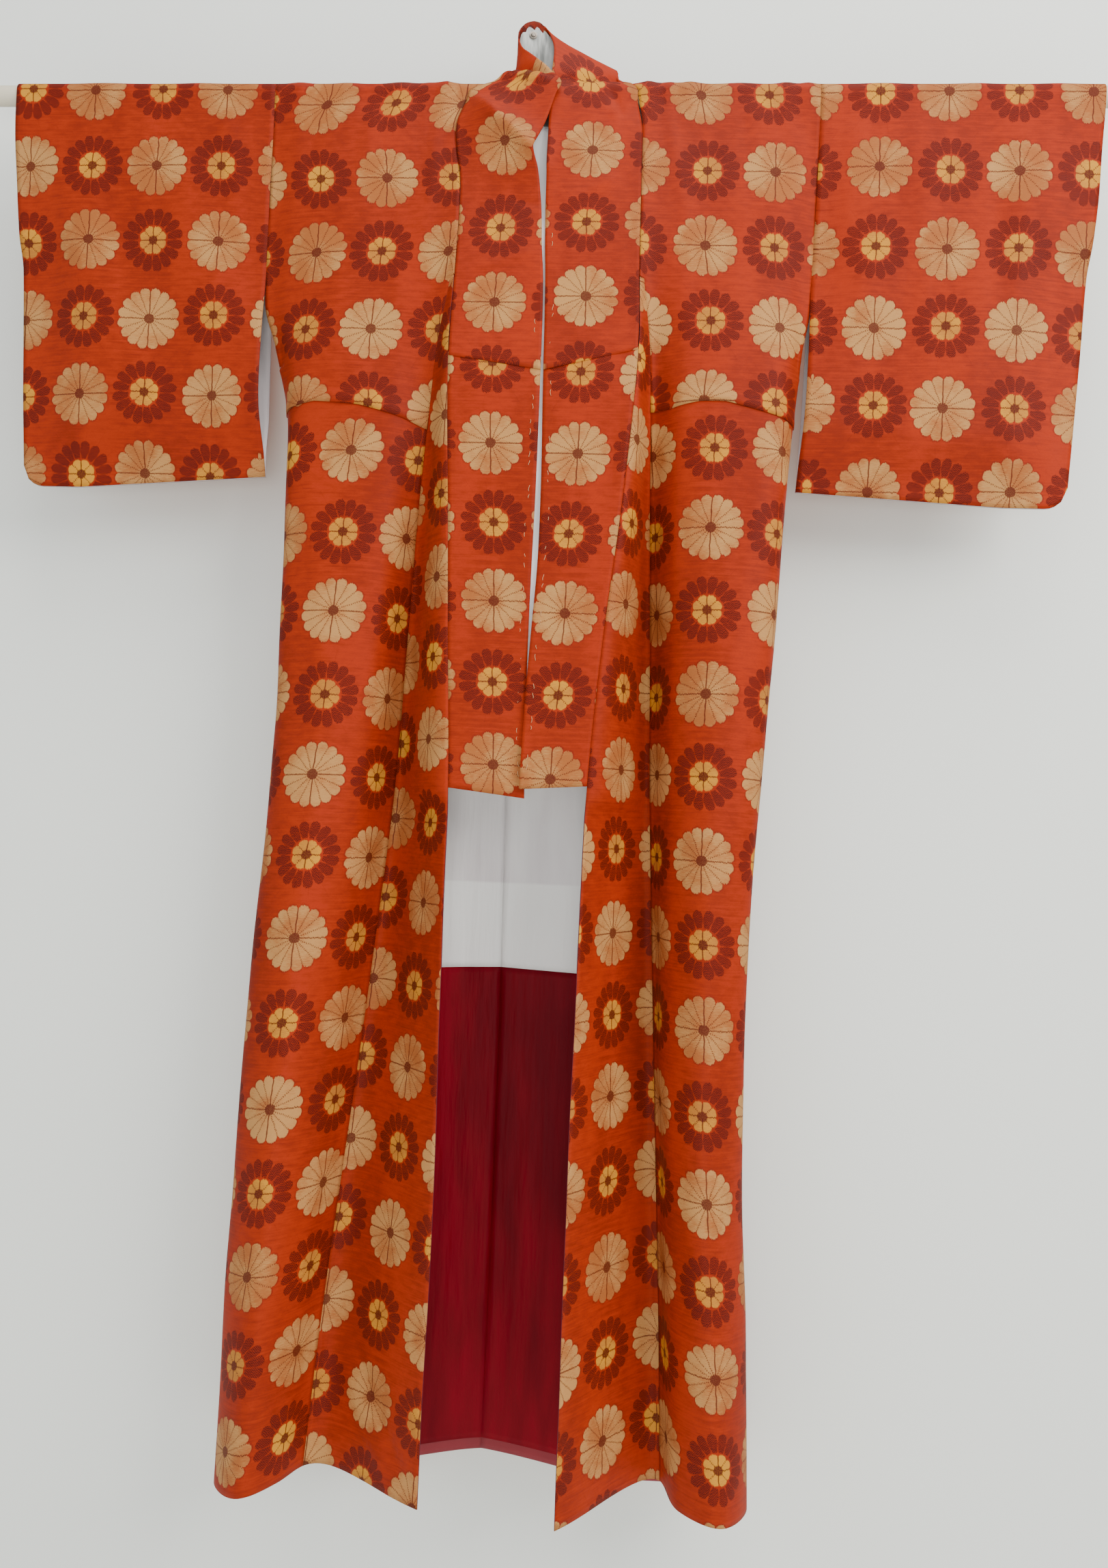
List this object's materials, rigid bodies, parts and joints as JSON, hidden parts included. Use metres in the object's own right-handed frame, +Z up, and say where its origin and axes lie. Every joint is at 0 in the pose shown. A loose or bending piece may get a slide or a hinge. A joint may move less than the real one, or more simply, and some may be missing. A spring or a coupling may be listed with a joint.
{
  "type": "kimono on a hanging rod",
  "caption": "Lined kimono with a wide collar, over-collar and overlap panels, hanging open in front with its shoulders and straight sleeves laid over a round rod.",
  "frame": {"origin": "middle of the rod's axis, where the garment is held", "axes": "+X along the rod to the viewer's right, -Y the garment's front, +Z up"},
  "size_m": [1.4, 0.1673, 1.7527],
  "materials": {
    "figured_cloth": "orange-red silk with gold and dark red flower rounds, low sheen",
    "collar_cloth": "the same orange-red silk, laid double, with basting stitches",
    "pale_lining": "off-white plain silk",
    "crimson_lining": "crimson plain silk",
    "rod_paint": "cream paint, satin",
    "snap_metal": "aged nickel"
  },
  "bodies": {
    "root": {"rod": "rod_paint", "sleeve_left_front": "figured_cloth", "sleeve_left_back": "figured_cloth", "sleeve_right_front": "figured_cloth", "sleeve_right_back": "figured_cloth", "front_left": "figured_cloth", "front_right": "figured_cloth", "back_left": "figured_cloth", "back_right": "figured_cloth", "overlap_left": "figured_cloth", "overlap_right": "figured_cloth", "collar_left": "collar_cloth", "collar_right": "collar_cloth", "over_collar_left": "collar_cloth", "over_collar_neck": "collar_cloth", "over_collar_right": "collar_cloth", "collar_lining_neck": "pale_lining", "collar_lining_left": "pale_lining", "lining_upper_left": "pale_lining", "lining_upper_right": "pale_lining", "lining_lower_left": "crimson_lining", "lining_lower_right": "crimson_lining", "collar_snap": "snap_metal"}
  },
  "joints": []
}
